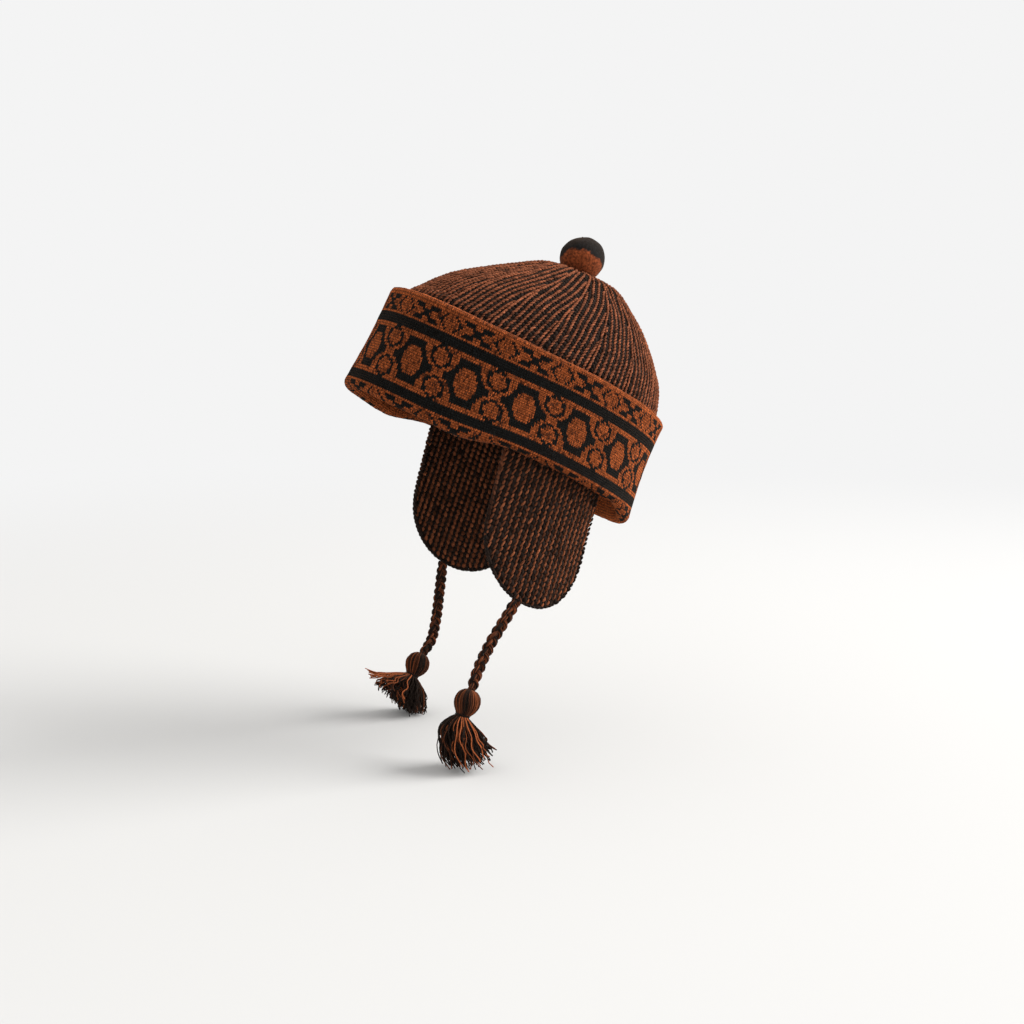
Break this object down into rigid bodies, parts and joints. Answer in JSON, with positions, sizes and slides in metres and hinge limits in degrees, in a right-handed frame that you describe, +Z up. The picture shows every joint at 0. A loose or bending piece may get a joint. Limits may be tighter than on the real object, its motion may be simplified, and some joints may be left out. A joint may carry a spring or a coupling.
{
  "type": "knitted ear-flap beanie",
  "caption": "Knitted winter hat with a ribbed crown, a turned-up patterned cuff, a felt pompom, ribbed ear flaps and braided ties that end in tassels.",
  "frame": {"origin": "the highest point of the crown's inside, where it rests on the top of the wearer's head", "axes": "+Z up as worn, -Y the way the face looks, +X towards the wearer's left"},
  "size_m": [0.1889, 0.2222, 0.3477],
  "materials": {
    "crown_knit": "matt wool, rust ribs on black",
    "cuff_knit": "matt wool, jacquard of rust and black",
    "flap_knit": "matt wool, dark ribs",
    "tie_yarn": "plied wool yarn, rust and black, braided",
    "tassel_yarn": "cut wool yarn, rust and black",
    "binding_yarn": "black wool yarn",
    "pompom_felt": "felted wool, rust with a black cap"
  },
  "bodies": {
    "root": {"crown": "crown_knit", "cuff": "cuff_knit", "ear_flap_left": "flap_knit", "ear_flap_right": "flap_knit", "pompom": "pompom_felt", "tie_left": "tie_yarn", "tie_right": "tie_yarn", "tassel_left": "tassel_yarn", "tassel_right": "tassel_yarn", "binding_left": "binding_yarn", "binding_right": "binding_yarn"}
  },
  "joints": []
}
